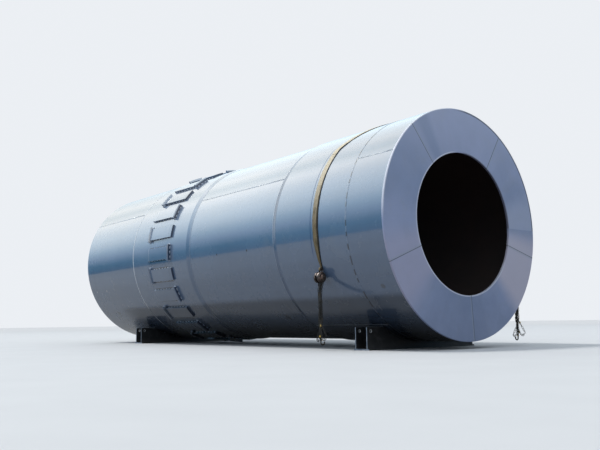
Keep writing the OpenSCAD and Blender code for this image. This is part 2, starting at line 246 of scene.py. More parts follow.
# Colours of the saddles, the webbing and the steel. A pair is a plain tone and the tone where
# the surface is raised or rubbed.
SADDLE_BLACK = (0.012, 0.012, 0.014, 1.0)
SADDLE_RUBBED = (0.05, 0.05, 0.055, 1.0)
SADDLE_DUST = (0.16, 0.15, 0.14, 1.0)
# Lighter blue-grey on the end edges of the saddle webs, and painted light round their holes
WEB_END_BLUES = ((0.17, 0.22, 0.30, 1.0), (0.30, 0.36, 0.44, 1.0))
HOLE_PAINTED_LIGHT = (0.42, 0.44, 0.46, 1.0)
# The webbing is paler high up as painted light and browner low down as painted shade with dirt,
# with painted shade along one edge
WEB_PALE_LIT = ((0.78, 0.68, 0.50, 1.0), (1.0, 0.93, 0.76, 1.0))
WEB_BROWN_SHADE_AND_DIRT = ((0.150, 0.118, 0.062, 1.0), (0.290, 0.232, 0.135, 1.0))
WEB_DIRT = (0.060, 0.050, 0.030, 1.0)
WEB_EDGE_SHADE = (0.020, 0.017, 0.012, 1.0)
STEEL_RUST = (0.16, 0.12, 0.09, 1.0)
# Painted highlight on the hoists
STEEL_HIGHLIGHT = (0.98, 0.80, 0.72, 1.0)
CHAIN_STEEL = ((0.022, 0.019, 0.016, 1.0), (0.13, 0.11, 0.085, 1.0))
HOIST_STEEL = ((0.030, 0.019, 0.015, 1.0), (0.30, 0.20, 0.17, 1.0))
BRASS = ((0.55, 0.36, 0.10, 1.0), (0.80, 0.60, 0.25, 1.0))

# Camera, from the outline of the drum in the photograph
CAMERA_PLACE = Vector((11.984, -8.879, AXIS_Z - 1.470))
CAMERA_YAW, CAMERA_PITCH, CAMERA_ROLL = radians(140.945), radians(7.689), radians(-0.771)
CAMERA_FOCAL = 719.06
IMAGE_W = 600
SENSOR_W = 36.0

# Studio: floor, key lamp, world, and a sky card whose brightness follows the height over the
# drum's side, as shares of a quarter turn
FLOOR_HALF = 150.0
FLOOR_DROP = 0.0005
FLOOR_SEEN = ((0.66, 0.68, 0.71, 1.0), (0.72, 0.74, 0.77, 1.0))
FLOOR_LIT, FLOOR_IN_GLOSS = (0.24, 0.24, 0.25, 1.0), (0.34, 0.345, 0.35, 1.0)
KEY_STRENGTH = 1.5
KEY_SPREAD = radians(9)
KEY_COLOUR = (1.0, 0.97, 0.92)
KEY_AIM = Vector((0.30, 0.42, -1.0))
FILL_COLOUR, FILL_STRENGTH = (0.88, 0.94, 1.0, 1.0), 0.62
BACK_COLOUR, BACK_STRENGTH = (0.88, 0.91, 0.95, 1.0), 0.95
SKY_R = 45.0
SKY_STRENGTH = 2.9
SKY_BEHIND_SHARE = 0.62
SKY_FAR_SHARE = 0.66
SKY_STOPS = [
    (0.0, (0.0, 0.05, 0.11)), (0.118, (0.004, 0.09, 0.16)), (0.229, (0.19, 0.275, 0.39)),
    (0.340, (0.35, 0.48, 0.585)), (0.451, (0.58, 0.69, 0.765)), (0.562, (0.70, 0.80, 0.85)),
    (0.696, (0.78, 0.84, 0.85)), (0.851, (0.94, 0.95, 0.91)), (1.0, (0.66, 0.71, 0.69)),
]


def clamp01(value):
    return max(0.0, min(1.0, value))


def drum_point(x, turn, radius):
    a = radians(turn)
    return Vector((x, radius * cos(a), AXIS_Z + radius * sin(a)))


def shell_matrix(x, turn, radius):
    """Frame of a place on the drum: X along the drum, Y round it, Z outwards."""
    a = radians(turn)
    out = Vector((0, cos(a), sin(a)))
    around = Vector((0, -sin(a), cos(a)))
    turned = Matrix((Vector((1, 0, 0)), around, out)).transposed()
    return Matrix.Translation(drum_point(x, turn, radius)) @ turned.to_4x4()


def surface_r(x):
    """Outside radius of the shell at a station, with its tapers."""
    if X_MIDDLE <= x <= X_FRONT:
        return LIGHT_R
    if X_FRONT < x < X_FRONT + TAPER:
        return LIGHT_R + (HEAVY_R - LIGHT_R) * (x - X_FRONT) / TAPER
    if X_MIDDLE - TAPER < x < X_MIDDLE:
        return LIGHT_R + (HEAVY_R - LIGHT_R) * (X_MIDDLE - x) / TAPER
    return HEAVY_R


def strap_x(turn):
    """Station of the strap's middle, which drifts towards the ring over the top."""
    return STRAP_X + STRAP_DRIFT * clamp01((STRAP_BEND - turn) / STRAP_SWING)


def strap_width(turn):
    """Width of the strap, which is gathered towards its eyes."""
    room = min(turn + STRAP_END, 180 + STRAP_END - turn)
    return STRAP_END_W + (STRAP_W - STRAP_END_W) * clamp01(room / STRAP_GATHER)


def strap_lift(turn):
    """Height of the strap over the shell, more where it crosses the bead by the ring course."""
    near = clamp01(2 - abs(strap_x(turn) - X_RING_COURSE) / (STRAP_W / 2 + CAP_W))
    return STRAP_GAP + CAP_H * near


def strap_turn(place):
    """Turn of a point on the strap, from -90 to 270 degrees."""
    turn = degrees(atan2(place.z - AXIS_Z, place.y))
    return turn + 360 if turn < -90 else turn


def hoist_matrix(end, side):
    """Frame of the round body of a hoist, beyond an end of the strap."""
    beyond = Matrix.Translation((0, -side * HOIST_ALONG, HOIST_LIFT))
    return shell_matrix(strap_x(end), end, HEAVY_R) @ beyond


# Painted highlights on the hoists as (centre, size)
HOIST_HIGHLIGHTS = [
    (hoist_matrix(end, side).translation + Vector((0.010, side * 0.066, 0.050)), 0.042)
    for end, side in ENDS
]


class Graph:
    """Adds shader nodes to a tree and links them."""

    def __init__(self, tree):
        self.tree = tree

    def add(self, kind, **settings):
        node = self.tree.nodes.new(kind)
        for name, value in settings.items():
            setattr(node, name, value)
        return node

    def put(self, socket, value):
        if isinstance(value, bpy.types.NodeSocket):
            self.tree.links.new(value, socket)
        else:
            socket.default_value = value

    def math(self, operation, *values, clamp=False):
        node = self.add("ShaderNodeMath", operation=operation, use_clamp=clamp)
        for socket, value in zip(node.inputs, values):
            self.put(socket, value)
        return node.outputs[0]

    def times(self, first, second):
        return self.math("MULTIPLY", first, second)

    def joined(self, masks):
        """One mask that covers what any of the masks covers."""
        total = masks[0]
        for mask in masks[1:]:
            total = self.math("ADD", total, mask, clamp=True)
        return total

    def scaled(self, vector, factor):
        node = self.add("ShaderNodeVectorMath", operation="SCALE")
        self.put(node.inputs[0], vector)
        self.put(node.inputs["Scale"], factor)
        return node.outputs[0]

    def distance(self, first, second):
        node = self.add("ShaderNodeVectorMath", operation="DISTANCE")
        self.put(node.inputs[0], first)
        self.put(node.inputs[1], second)
        return node.outputs[1]

    def split(self, vector):
        node = self.add("ShaderNodeSeparateXYZ")
        self.put(node.inputs[0], vector)
        return node.outputs

    def combine(self, x, y, z):
        node = self.add("ShaderNodeCombineXYZ")
        for socket, value in zip(node.inputs, (x, y, z)):
            self.put(socket, value)
        return node.outputs[0]

    def mix(self, factor, first, second):
        node = self.add("ShaderNodeMix", data_type="RGBA", blend_type="MIX")
        self.put(node.inputs["Factor"], factor)
        self.put(node.inputs[6], first)
        self.put(node.inputs[7], second)
        return node.outputs[2]

    def tint(self, base, mask, amount, colour):
        """Lays a colour over the base where the mask is, as strongly as the amount."""
        return self.mix(self.times(mask, amount), base, colour)

    def smooth(self, value, low, high, to_low=0.0, to_high=1.0):
        node = self.add("ShaderNodeMapRange", interpolation_type="SMOOTHSTEP", clamp=True)
        for socket, item in zip(node.inputs, (value, low, high, to_low, to_high)):
            self.put(socket, item)
        return node.outputs[0]

    def noise(self, vector, scale, detail=2.0, roughness=0.5):
        node = self.add("ShaderNodeTexNoise")
        self.put(node.inputs["Vector"], vector)
        self.put(node.inputs["Scale"], scale)
        self.put(node.inputs["Detail"], detail)
        self.put(node.inputs["Roughness"], roughness)
        return node.outputs["Fac"]

    def bump(self, height, strength, distance):
        node = self.add("ShaderNodeBump")
        self.put(node.inputs["Strength"], strength)
        self.put(node.inputs["Distance"], distance)
        self.put(node.inputs["Height"], height)
        return node.outputs[0]

    def group(self, group, **values):
        node = self.add("ShaderNodeGroup", node_tree=group)
        for name, value in values.items():
            self.put(node.inputs[name], value)
        return node.outputs

    def line(self, value, place, half, soft):
        return self.group(line_mask, Value=value, Place=place, Half=half, Soft=soft)["Mask"]

    def spot(self, centre, size):
        return self.group(spot_mask, Centre=centre, Size=size)["Mask"]

    def spots(self, marks, radius):
        """One mask of all the marks of a list such as SMUDGES."""
        return self.joined([
            self.spot(drum_point(X_FACE - away, turn, radius), size) for away, turn, size in marks
        ])

    def object_place(self):
        return self.add("ShaderNodeTexCoord").outputs["Object"]


def new_group(name, inputs, outputs):
    tree = bpy.data.node_groups.new(name, "ShaderNodeTree")
    kinds = {float: "NodeSocketFloat", tuple: "NodeSocketColor", Vector: "NodeSocketVector"}
    for label, value in inputs.items():
        socket = tree.interface.new_socket(label, in_out="INPUT", socket_type=kinds[type(value)])
        socket.default_value = value
    for label, kind in outputs.items():
        tree.interface.new_socket(label, in_out="OUTPUT", socket_type=kinds[kind])
    g = Graph(tree)
    return g, g.add("NodeGroupInput").outputs, g.add("NodeGroupOutput").inputs


def drum_place_group():
    """Station along the drum, turn, and distance from the axis."""
    outputs = {"Station": float, "Turn": float, "Radius": float}
    g, _, out = new_group("drum_place", {}, outputs)
    x, y, z = g.split(g.object_place())
    up = g.math("SUBTRACT", z, AXIS_Z)
    turn = g.times(g.math("ARCTAN2", up, y), degrees(1))
    g.put(out["Station"], x)
    g.put(out["Turn"], g.math("FLOORED_MODULO", turn, 360.0))
    g.put(out["Radius"], g.distance(g.combine(0.0, y, up), (0, 0, 0)))
    return g.tree


def line_mask_group():
    """1 where Value is within Half of Place, falling to 0 over Soft."""
    inputs = {"Value": 0.0, "Place": 0.0, "Half": 0.01, "Soft": 0.01}
    g, put, out = new_group("line_mask", inputs, {"Mask": float})
    away = g.math("ABSOLUTE", g.math("SUBTRACT", put["Value"], put["Place"]))
    far = g.math("ADD", put["Half"], put["Soft"])
    g.put(out["Mask"], g.smooth(away, put["Half"], far, 1.0, 0.0))
    return g.tree


def spot_mask_group():
    """1 within Size of Centre with a ragged edge."""
    inputs = {"Centre": Vector((0, 0, 0)), "Size": 0.02}
    g, put, out = new_group("spot_mask", inputs, {"Mask": float})
    place = g.object_place()
    away = g.distance(place, put["Centre"])
    ragged = g.times(g.math("SUBTRACT", g.noise(place, 40.0), 0.5), put["Size"])
    inner = g.times(put["Size"], 0.6)
    g.put(out["Mask"], g.smooth(g.math("ADD", away, ragged), inner, put["Size"], 1.0, 0.0))
    return g.tree


def paint_group():
    """Brushed-on and sprayed paint: lengthways streaks, clouds, runs, dust and orange peel."""
    inputs = {"Colour": SHELL_BLUE, "Streaks": 0.12, "Dust": 0.2, "Roughness": 0.3}
    outputs = {"Colour": tuple, "Roughness": float, "Height": float}
    g, put, out = new_group("paint", inputs, outputs)
    place = g.object_place()
    drum = g.group(drum_place)
    station, turn = drum["Station"], drum["Turn"]
    streak_place = g.combine(g.times(station, 0.22), g.times(turn, 0.16), 0.0)
    run_place = g.combine(g.times(station, 5.0), g.times(turn, 0.02), 3.0)
    streak = g.math("SUBTRACT", g.noise(streak_place, 1.0, 4.0, 0.6), 0.5)
    run = g.math("SUBTRACT", g.noise(run_place, 1.0, 3.0, 0.55), 0.5)
    cloud = g.math("SUBTRACT", g.noise(place, 0.9, 4.0, 0.6), 0.5)
    tone = g.math("ADD", streak, g.math("ADD", g.times(run, 0.5), g.times(cloud, 0.8)))
    shade = g.scaled(put["Colour"], g.math("MULTIPLY_ADD", tone, put["Streaks"], 1.0))
    dusty = g.times(g.smooth(g.noise(place, 3.1, 6.0, 0.65), 0.48, 0.8), put["Dust"])
    speck = g.times(g.smooth(g.noise(place, 55.0), 0.72, 0.8), put["Dust"])
    dust = g.math("ADD", dusty, speck, clamp=True)
    g.put(out["Colour"], g.mix(dust, shade, PAINT_DUST))
    rough = g.math("MULTIPLY_ADD", cloud, 0.16, put["Roughness"])
    g.put(out["Roughness"], g.math("MULTIPLY_ADD", dust, 0.5, rough, clamp=True))
    peel, wave = g.noise(place, 85.0), g.noise(place, 2.4)
    g.put(out["Height"], g.math("MULTIPLY_ADD", wave, 9.0, peel))
    return g.tree


def ripple_group():
    """Crescent ripples of a weld bead along a distance in metres."""
    inputs = {"Along": 0.0, "Pitch": 0.006}
    g, put, out = new_group("ripple", inputs, {"Height": float, "Tone": float})
    place = g.object_place()
    jitter = g.times(g.noise(place, 30.0), 0.012)
    steps = g.math("DIVIDE", g.math("ADD", put["Along"], jitter), put["Pitch"])
    g.put(out["Height"], g.math("SQRT", g.math("FRACT", steps)))
    g.put(out["Tone"], g.smooth(g.noise(place, 18.0, 3.0), 0.3, 0.75))
    return g.tree


def steel_group():
    """Dull dark steel with oil, dust and rubbed places."""
    inputs = {"Colour": CHAIN_STEEL[0], "Rubbed": CHAIN_STEEL[1], "Wear": 0.4}
    outputs = {"Colour": tuple, "Roughness": float, "Height": float}
    g, put, out = new_group("dark_steel", inputs, outputs)
    place = g.object_place()
    coarse = g.noise(place, 9.0, 5.0, 0.6)
    fine = g.noise(place, 120.0, 3.0, 0.6)
    wear_and_hole_light = g.times(g.smooth(coarse, 0.5, 0.72), put["Wear"])
    base = g.mix(wear_and_hole_light, put["Colour"], put["Rubbed"])
    g.put(out["Colour"], g.mix(g.smooth(fine, 0.62, 0.8, 0.0, 0.3), base, STEEL_RUST))
    g.put(out["Roughness"], g.math("MULTIPLY_ADD", coarse, 0.3, 0.32))
    g.put(out["Height"], fine)
    return g.tree


def strap_station_group():
    """Distance along the drum from the middle of the strap, as strap_x has it."""
    g, _, out = new_group("strap_station", {}, {"Offset": float})
    drum = g.group(drum_place)
    left = g.math("SUBTRACT", STRAP_BEND, drum["Turn"])
    share = g.math("DIVIDE", left, STRAP_SWING, clamp=True)
    middle = g.math("MULTIPLY_ADD", share, STRAP_DRIFT, STRAP_X)
    g.put(out["Offset"], g.math("SUBTRACT", drum["Station"], middle))
    return g.tree


def pad_edge_group():
    """Painted shade in broken lines where the long edges of the seat pads meet the shell."""
    g, _, out = new_group("pad_edges", {}, {"Mask": float})
    drum = g.group(drum_place)
    turned = g.math("SUBTRACT", drum["Turn"], PAD_ANGLE - PAD_PITCH / 2)
    in_pitch = g.math("FLOORED_MODULO", turned, PAD_PITCH)
    across = g.math("ABSOLUTE", g.math("SUBTRACT", in_pitch, PAD_PITCH / 2))
    edge = g.line(across, PAD_HALF_TURN + 0.35, 0.55, 0.25)
    along = g.math("ABSOLUTE", g.math("SUBTRACT", drum["Station"], SEAT_X))
    near = g.smooth(along, SEAT_W / 2 - 0.05, SEAT_W / 2 + PAD_OVERHANG, 1.0, 0.0)
    ragged = g.smooth(g.noise(g.object_place(), 14.0, 3.0), 0.25, 0.50)
    g.put(out["Mask"], g.times(g.times(edge, near), ragged))
    return g.tree


def underside_group():
    """Grime and shade under the drum, from just above the saddles, and less at the rear end."""
    g, _, out = new_group("underside", {}, {"Mask": float})
    drum = g.group(drum_place)
    low = g.line(drum["Turn"], 270.0, 50.0, 5.0)
    deep = g.line(drum["Turn"], 270.0, 20.0, 26.0)
    shade = g.math("MULTIPLY_ADD", deep, 0.35, g.times(low, 0.62))
    forward = g.smooth(drum["Station"], X_REAR + 0.9, X_REAR + 1.8, 0.15, 1.0)
    g.put(out["Mask"], g.times(shade, forward))
    return g.tree


drum_place = drum_place_group()
line_mask = line_mask_group()
spot_mask = spot_mask_group()
paint = paint_group()
ripple = ripple_group()
dark_steel = steel_group()
strap_station = strap_station_group()
pad_edges = pad_edge_group()
underside = underside_group()

GLOSS = {"Coat_Roughness": 0.07, "Coat_IOR": 1.8, "Specular_IOR_Level": 0.5}


def new_material(name, **constants):
    material = bpy.data.materials.new(name)
    material.use_nodes = True
    shader = material.node_tree.nodes["Principled BSDF"]
    for label, value in constants.items():
        shader.inputs[label.replace("_", " ")].default_value = value
    return material, Graph(material.node_tree), shader.inputs


def shell_paint():
    """Glossy blue-grey outside; inside, primer and rust darkened to near black as painted shade."""
    material, g, shader = new_material("shell_paint", **GLOSS)
    drum = g.group(drum_place)
    finish = g.group(paint, Colour=SHELL_BLUE, Streaks=0.30, Dust=0.10, Roughness=0.26)
    station = drum["Station"]
    lines = g.joined([g.line(station, X_REAR + place, 0.004, 0.006) for place in REAR_LINES])
    marked = g.tint(finish["Colour"], lines, 0.35, REAR_LINE_BLUE)
    marked = g.mix(g.spots(DOT_ROW, LIGHT_R), marked, DOT_BLACK)
    marked = g.tint(marked, g.spots(SMUDGES, HEAVY_R), 0.6, SMUDGE_GREY)
    marked = g.tint(marked, g.spots(CHALK, HEAVY_R), 0.6, CHALK_GREY)
    beside = g.group(strap_station)["Offset"]
    side_line = g.line(beside, -STRAP_W / 2 - SIDE_LINE_OFF, 0.006, 0.008)
    side_line = g.times(side_line, g.line(drum["Turn"], SIDE_LINE_TURN, 28.0, 6.0))
    marked = g.tint(marked, side_line, 0.8, SIDE_LINE_BLUE)
    # Painted shade: the front taper between the light and heavy courses is darkened, and its coat
    # dulled.
    taper = g.line(station, X_FRONT + TAPER / 2, TAPER / 2, 0.012)
    marked = g.tint(marked, taper, 0.55, TAPER_SHADE_BLUE)
    # Painted shade in the gaps along the long edges of the seat pads.
    marked = g.mix(g.group(pad_edges)["Mask"], marked, PAD_JOINT_SHADE)
    below = g.group(underside)["Mask"]
    # Grime and painted shade under the drum.
    marked = g.mix(below, marked, GRIME_AND_SHADE)
    # Painted shade: the inside is primer and rust made near black.
    inside = g.smooth(drum["Radius"], BORE_R + 0.003, BORE_R + 0.009, 1.0, 0.0)
    inside_rust_and_shade = g.mix(g.noise(g.object_place(), 2.3, 6.0, 0.65), INSIDE_PRIMER_SHADE, INSIDE_RUST_SHADE)
    g.put(shader["Base Color"], g.mix(inside, marked, inside_rust_and_shade))
    g.put(shader["Roughness"], g.math("MAXIMUM", finish["Roughness"], g.times(inside, 0.85)))
    dull = g.math("MAXIMUM", g.times(below, 0.8), g.times(g.joined([taper, side_line]), 0.8))
    outside = g.math("SUBTRACT", 1.0, inside)
    g.put(shader["Coat Weight"], g.times(outside, g.math("SUBTRACT", 1.0, dull)))
    g.put(shader["Normal"], g.bump(finish["Height"], 0.20, 0.0012))
    return material


def ring_paint():
    """Satin paint on the flat ring, with the joints of its segments, painted light higher up,
    painted shade at the bottom, patches of painted light and shade round it, and painted highlights
    and shade on its edges.
    """
    material, g, shader = new_material(
        "ring_paint", Coat_Roughness=0.22, Coat_Weight=0.5, Coat_IOR=1.5
    )
    drum = g.group(drum_place)
    finish = g.group(paint, Colour=RING_BLUE, Streaks=0.16, Dust=0.22, Roughness=0.36)
    place = g.object_place()
    cloudy = g.smooth(g.noise(place, 1.7, 5.0, 0.6), 0.35, 0.72)
    high = g.smooth(g.split(place)[2], AXIS_Z + 0.2, AXIS_Z + 1.8)
    tone = g.tint(finish["Colour"], cloudy, 0.35, RING_CLOUD)
    # Painted light higher up the ring, painted shade at its bottom, and patches of painted light
    # and shade round it.
    tone = g.tint(tone, high, 0.55, RING_HIGH_LIT)
    tone = g.tint(tone, g.line(drum["Turn"], 262.0, 12.0, 44.0), 0.35, RING_LOW_SHADE)
    for turn, half, soft, amount, colour in RING_LIGHT_AND_SHADE_PATCHES:
        tone = g.tint(tone, g.line(drum["Turn"], turn, half, soft), amount, colour)
    # Painted highlights and painted shade on the inner and outer edges.
    for radius, width, turn, half, colour in RING_RIM_HIGHLIGHTS_AND_SHADE:
        rim = g.line(drum["Radius"], radius, width / 2, 0.005)
        tone = g.tint(tone, g.times(rim, g.line(drum["Turn"], turn, half, 12.0)), 0.75, colour)
    pitch = 360.0 / RING_SEGMENTS
    turned = g.math("SUBTRACT", drum["Turn"], RING_SEAM_ANGLE - pitch / 2)
    across = g.math("SUBTRACT", g.math("FLOORED_MODULO", turned, pitch), pitch / 2)
    arc = g.times(g.times(across, radians(1)), drum["Radius"])
    # A greyer band along one side of each joint.
    beside_joints = g.tint(tone, g.line(arc, -0.016, 0.008, 0.014), 0.40, RING_BESIDE_JOINTS)
    joint = g.line(arc, 0.0, 0.0035, 0.004)
    g.put(shader["Base Color"], g.tint(beside_joints, joint, 0.75, RING_JOINT))
    g.put(shader["Roughness"], finish["Roughness"])
    g.put(shader["Normal"], g.bump(finish["Height"], 0.16, 0.0012))
    return material


def pad_paint():
    """Paint on the seat pads and stops, with painted shade in the joint with the shell, painted
    light on their end faces, and painted shade on the upper part of the front end faces.
    """
    material, g, shader = new_material("pad_paint", Coat_Weight=1.0, **GLOSS)
    drum = g.group(drum_place)
    station, radius = drum["Station"], drum["Radius"]
    finish = g.group(paint, Colour=SHELL_BLUE, Streaks=0.30, Dust=0.14, Roughness=0.28)
    # Painted shade: darker at the foot of the pads and stops where they meet the shell, less
    # towards the rear.
    foot = g.smooth(radius, HEAVY_R + 0.006, HEAVY_R + 0.024, 0.75, 0.0)
    foot = g.times(foot, g.smooth(station, SEAT_X - 0.35, SEAT_X - 0.25, 0.25, 1.0))
    footed = g.mix(foot, finish["Colour"], PAD_FOOT_SHADE)
    rear = g.line(station, SEAT_X - SEAT_W / 2, 0.003, 0.001)
    ends = g.joined([
        g.line(station, SEAT_X + SEAT_W / 2 + out, 0.003, 0.001)
        for out in (0.0, STOP_T, PAD_OVERHANG)
    ])
    # Painted light: the end faces are made pale to stand in for the sky that the shell around them
    # reflects, greyer below the middle height of the side.
    pale = g.mix(g.smooth(drum["Turn"], 172.0, 184.0), END_LIT_PALE, END_LIT_GREY)
    outer = g.smooth(radius, HEAVY_R + 0.044, HEAVY_R + 0.052)
    # Painted shade on the upper part of the front end faces, painted light below it.
    ended = g.tint(footed, ends, 0.85, g.mix(outer, END_SHADE_DARK, pale))
    below = g.group(underside)["Mask"]
    # Painted light on the rear end faces; grime and painted shade under the drum.
    g.put(shader["Base Color"], g.mix(below, g.mix(rear, ended, pale), GRIME_AND_SHADE))
    dull = g.math("MAXIMUM", g.joined([rear, g.times(ends, 0.5)]), g.times(below, 0.8))
    g.put(shader["Coat Weight"], g.math("SUBTRACT", 1.0, dull))
    g.put(shader["Roughness"], finish["Roughness"])
    g.put(shader["Normal"], g.bump(finish["Height"], 0.20, 0.0012))
    return material


def rippled(g, shader, along):
    """Gives a bead its ripples and returns the tone that goes with them."""
    waves = g.group(ripple, Along=along, Pitch=RIPPLE_PITCH)
    g.put(shader["Roughness"], g.math("MULTIPLY_ADD", waves["Height"], 0.15, 0.25))
    g.put(shader["Normal"], g.bump(waves["Height"], 0.5, 0.0016))
    return waves["Tone"]


def bead_paint(name, colours, under, coat):
    """Painted weld bead with ripples that run round the drum and along it, in blues lighter than
    the shell as painted light, with the under colour under the drum as painted shade and grime.
    """
    material, g, shader = new_material(name, **GLOSS)
    drum = g.group(drum_place)
    around = g.times(drum["Turn"], radians(1) * HEAVY_R)
    tone = rippled(g, shader, g.math("ADD", around, drum["Station"]))
    below = g.group(underside)["Mask"]
    # Lighter blues as painted light; the under colour under the drum is painted shade, with grime.
    g.put(shader["Base Color"], g.mix(below, g.mix(tone, *colours), under))
    g.put(shader["Coat Weight"], g.math("MULTIPLY_ADD", below, -coat, coat))
    return material


def seam_bead_paint():
    """Girth beads, with dark dashes on the seam by the ring course and a painted highlight on the
    one by the tyre.
    """
    coat = 0.8
    material, g, shader = new_material("seam_bead_paint", Coat_Weight=coat, **GLOSS)
    drum = g.group(drum_place)
    around = g.times(drum["Turn"], radians(1) * HEAVY_R)
    plain = g.mix(rippled(g, shader, around), SHELL_BLUE, SEAM_BLUE)
    gap = g.times(g.noise(g.combine(around, 0.0, 0.0), 3.4), 2.6)
    dash = g.math("GREATER_THAN", g.math("FRACT", g.math("MULTIPLY_ADD", around, 5.2, gap)), 0.45)
    at_ring = g.line(drum["Station"], X_RING_COURSE, 0.03, 0.01)
    at_tyre = g.line(drum["Station"], X_TYRE, 0.03, 0.01)
    dashed = g.tint(plain, g.times(dash, at_ring), 0.85, DASH_DARK)
    below = g.group(underside)["Mask"]
    # Painted highlight on the bead by the tyre, with its coat dulled; grime and painted shade under
    # the drum.
    g.put(shader["Base Color"], g.mix(below, g.mix(at_tyre, dashed, SEAM_HIGHLIGHT), GRIME_AND_SHADE))
    dull = g.math("MAXIMUM", g.times(at_tyre, 0.6), g.times(below, 0.7))
    g.put(shader["Coat Weight"], g.math("SUBTRACT", coat, dull))
    return material


def saddle_paint():
    """Dull black paint with dust, lighter blue-grey edges at the ends of the webs, and painted
    light round the holes of the webs.
    """
    material, g, shader = new_material("saddle_paint", Specular_IOR_Level=0.4)
    place = g.object_place()
    _, y, z = g.split(place)
    finish = g.group(dark_steel, Colour=SADDLE_BLACK, Rubbed=SADDLE_RUBBED, Wear=0.5)
    low = g.smooth(z, 0.0, 0.14, 0.35, 0.0)
    dusty = g.tint(finish["Colour"], low, g.noise(place, 5.0, 5.0), SADDLE_DUST)
    side = g.math("ABSOLUTE", y)
    end_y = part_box("front_saddle_outer_web")[1].y
    web_end = g.smooth(side, end_y - 0.0012, end_y - 0.0004)
    edge = g.mix(g.smooth(g.noise(place, 22.0, 4.0), 0.35, 0.7), *WEB_END_BLUES)
    _, hole_y, hole_z = MOUNTS["front_saddle_lift_hole_left"]["pos_m"]
    hole_r = MOUNTS["front_saddle_lift_hole_left"]["dims"]["r_mm"] / 1000
    away = g.distance(g.combine(0.0, side, z), (0.0, hole_y, hole_z))
    # Painted light round the lift holes, standing in for light seen through them.
    wear_and_hole_light = g.smooth(away, hole_r + 0.003, hole_r + 0.008, 1.0, 0.0)
    g.put(shader["Base Color"], g.mix(wear_and_hole_light, g.mix(web_end, dusty, edge), HOLE_PAINTED_LIGHT))
    g.put(shader["Roughness"], finish["Roughness"])
    g.put(shader["Normal"], g.bump(finish["Height"], 0.3, 0.0008))
    return material


def webbing():
    """Worn webbing, paler high up as painted light, browner and darker low down as painted shade
    and dirtier there, with painted shade along its edge towards the ring. The UV map is in metres
    of cloth.
    """
    material, g, shader = new_material("webbing", Specular_IOR_Level=0.15)
    along, across, _ = g.split(g.add("ShaderNodeTexCoord").outputs["UV"])
    warp = g.math("SINE", g.times(across, 2 * pi / WARP_PITCH))
    twill = g.math(
        "ADD", g.times(along, 2 * pi / TWILL_ALONG), g.times(across, 2 * pi / TWILL_ACROSS)
    )
    weave = g.times(warp, g.math("SINE", twill))
    thread = g.smooth(weave, -0.6, 0.8)
    # Painted light high up and painted shade low down, by height.
    low = g.smooth(g.split(g.object_place())[2], AXIS_Z - 0.15, AXIS_Z + 1.0, 0.95, 0.0)
    shaded_and_aged = g.mix(low, g.mix(thread, *WEB_PALE_LIT), g.mix(thread, *WEB_BROWN_SHADE_AND_DIRT))
    dirt_place = g.combine(g.times(along, 4.0), g.times(across, 22.0), 0.0)
    dirt = g.smooth(g.noise(dirt_place, 2.0, 5.0), 0.42, 0.70)
    grimy = g.tint(shaded_and_aged, dirt, g.math("MULTIPLY_ADD", low, 0.55, 0.25), WEB_DIRT)
    # Painted shade along the strap's edge towards the ring, wider low down.
    side_from = g.math("MULTIPLY_ADD", low, -0.018, STRAP_W / 2 - 0.024)
    side = g.smooth(across, side_from, g.math("ADD", side_from, 0.010))
    g.put(shader["Base Color"], g.tint(grimy, side, 0.90, WEB_EDGE_SHADE))
    g.put(shader["Roughness"], g.math("MULTIPLY_ADD", weave, 0.05, 0.78))
    g.put(shader["Normal"], g.bump(weave, 0.7, 0.0009))
    return material


def lashing_metal(name, colours, wear, metallic, highlight_spots=()):
    """Metal of the lashing, rubbed in places, with painted highlights at the given spots."""
    material, g, shader = new_material(name, Metallic=metallic, Specular_IOR_Level=0.5)
    finish = g.group(dark_steel, Colour=colours[0], Rubbed=colours[1], Wear=wear)
    tone = finish["Colour"]
    # Painted highlights on the hoists' round bodies.
    for centre, size in highlight_spots:
        tone = g.tint(tone, g.spot(centre, size), 0.92, STEEL_HIGHLIGHT)
    g.put(shader["Base Color"], tone)
    g.put(shader["Roughness"], finish["Roughness"])
    g.put(shader["Normal"], g.bump(finish["Height"], 0.35, 0.0006))
    return material


MATERIALS = {
    "shell": shell_paint(),
    "ring": ring_paint(),
    "pad": pad_paint(),
    "bead": bead_paint("bead_paint", BEAD_LIT_BLUES, GRIME_AND_SHADE, 0.30),
    "stitch": bead_paint("stitch_paint", STITCH_LIT_BLUES, STITCH_UNDER_SHADE, 0.7),
    "seam_bead": seam_bead_paint(),
    "saddle": saddle_paint(),
    "webbing": webbing(),
    "steel": lashing_metal("chain_steel", CHAIN_STEEL, 0.6, 0.3),
    "hoist": lashing_metal("hoist_steel", HOIST_STEEL, 0.8, 0.2, HOIST_HIGHLIGHTS),
    "brass": lashing_metal("brass_latch", BRASS, 0.6, 0.9),
}
# Finish of a node by the first of these words that is in its name
NODE_FINISH = {
    "course": "shell", "end_ring": "ring", "pads": "pad", "stop_blocks": "pad", "weld_caps": "bead",
    "saddle": "saddle", "strap": "webbing", "hoists": "hoist", "chains": "steel", "hooks": "steel",
}


def dress_nodes():
    """Gives every node of the frame the finish that its name asks for."""
    for name, piece in frame["nodes"].items():
        finish = next(value for key, value in NODE_FINISH.items() if key in name)
        piece.data.materials.clear()
        piece.data.materials.append(MATERIALS[finish])


def new_object(bm, name, material):
    """Turns a bmesh into an object in the scene."""
    mesh = bpy.data.meshes.new(name)
    bm.to_mesh(mesh)
    bm.free()
    mesh.materials.append(material)
    made = bpy.data.objects.new(name, mesh)
    bpy.context.scene.collection.objects.link(made)
    return made


def finish_piece(bm, name, finish, smooth=True):
    """Turns a bmesh into a piece of the object that rides on its one body."""
    bmesh.ops.recalc_face_normals(bm, faces=bm.faces)
    piece = new_object(bm, name, MATERIALS[finish])
    for face in piece.data.polygons:
        face.use_smooth = smooth
    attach(piece, "root")
    return piece


